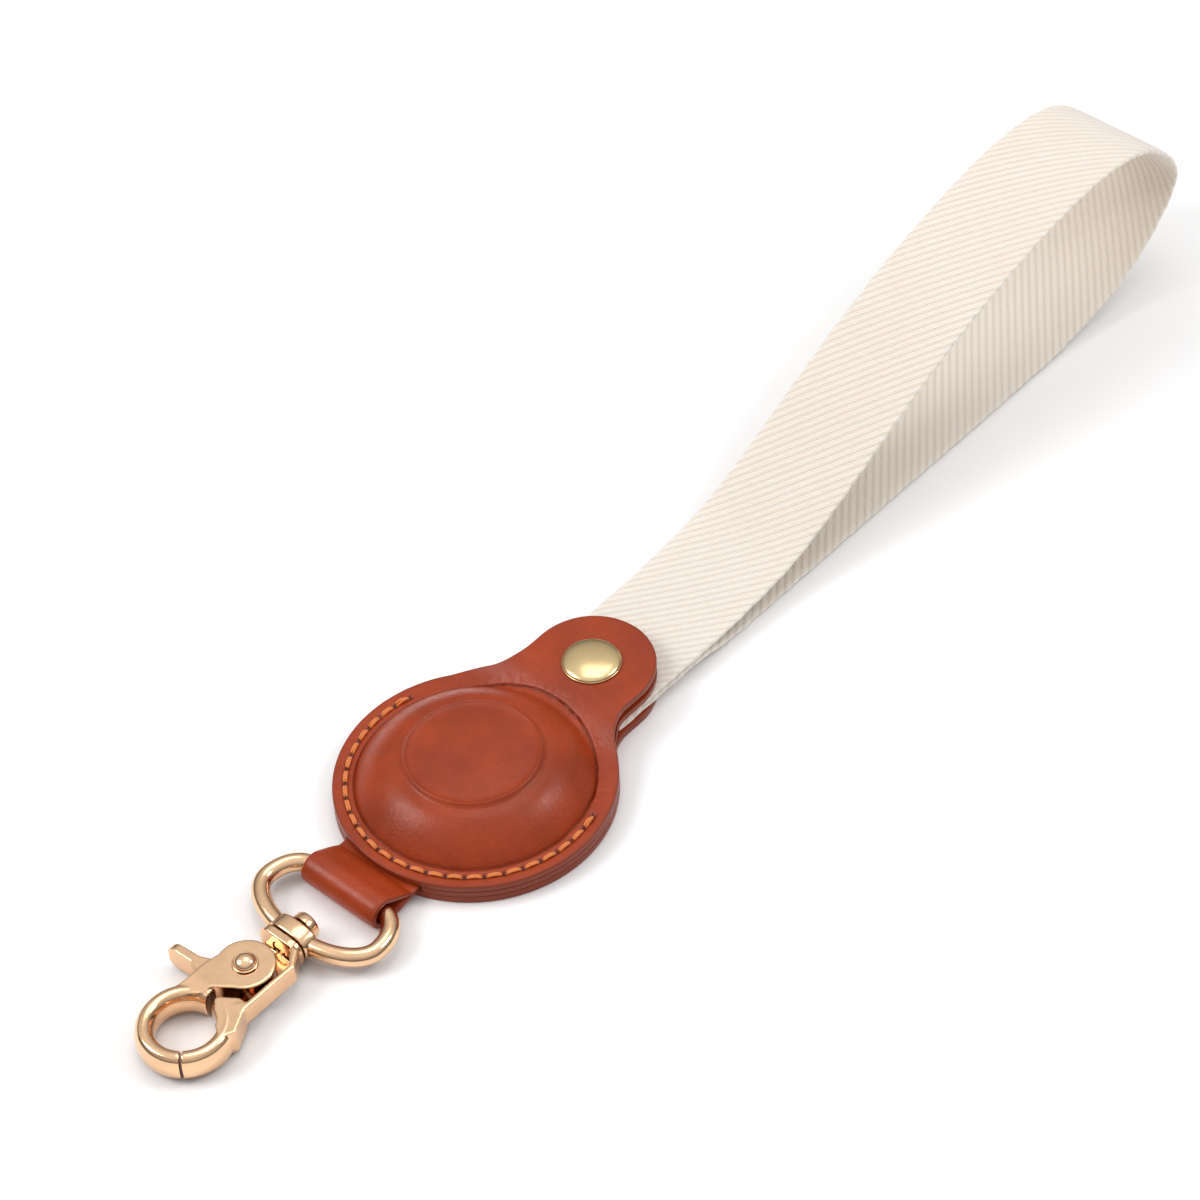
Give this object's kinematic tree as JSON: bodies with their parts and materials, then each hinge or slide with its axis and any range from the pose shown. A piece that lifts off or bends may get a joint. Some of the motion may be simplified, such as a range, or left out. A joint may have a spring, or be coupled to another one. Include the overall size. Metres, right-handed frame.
{
  "type": "wristlet keychain",
  "caption": "Leather wristlet keychain with a domed tracker-tag pouch, a snap flap, a webbing wrist loop and a swivel lobster clasp.",
  "frame": {"origin": "on the underside of the back cover, under the middle of the round pouch", "axes": "+Y along the neck towards the wrist loop, +X to the right seen from the front, +Z out of the domed front"},
  "size_m": [0.0452, 0.2431, 0.0335],
  "materials": {
    "leather": "smooth glossy chestnut leather with painted edges",
    "thread": "waxed orange twisted thread",
    "webbing": "cream twill webbing, matt",
    "clasp_metal": "polished light rose gold plating",
    "snap_metal": "polished pale brass plating",
    "spring_steel": "bright spring wire"
  },
  "bodies": {
    "holder": {"back_cover": "leather", "liner": "leather", "front_cover": "leather", "front_thread": "thread", "back_thread": "thread", "snap_post": "snap_metal", "snap_stud": "snap_metal", "webbing_ends": "webbing", "ring_loop": "leather"},
    "flap": {"flap": "leather", "snap_cap": "snap_metal", "snap_socket": "snap_metal", "snap_spring": "spring_steel"},
    "strap": {"webbing_loop": "webbing"},
    "ring": {"d_ring": "clasp_metal"},
    "hook": {"hook_body": "clasp_metal", "swivel_pin": "clasp_metal", "lever_rivet": "clasp_metal", "lever_spring": "spring_steel"},
    "lever": {"lever": "clasp_metal"}
  },
  "joints": [
    {"name": "flap_hinge", "type": "hinge", "parent": "holder", "child": "flap", "pos_m": [0, 0.007, 0.01], "axis": [1, 0, 0], "range_deg": [0, 55]},
    {"name": "strap_bend", "type": "hinge", "parent": "holder", "child": "strap", "pos_m": [0, 0.0387, 0.0025], "axis": [1, 0, 0], "range_deg": [-60, 60]},
    {"name": "ring_hinge", "type": "hinge", "parent": "holder", "child": "ring", "pos_m": [0, -0.02867, 0.00287], "axis": [1, 0, 0], "range_deg": [-90, 90]},
    {"name": "hook_swivel", "type": "hinge", "parent": "ring", "child": "hook", "pos_m": [0, -0.04068, 0.00287], "axis": [0, 1, 0], "continuous": true},
    {"name": "lever_hinge", "type": "hinge", "parent": "hook", "child": "lever", "pos_m": [0, -0.05058, 0], "axis": [0, 0, -1], "range_deg": [0, 22], "stiffness_Nm_per_rad": 0.02, "springref_deg": -28.65}
  ]
}
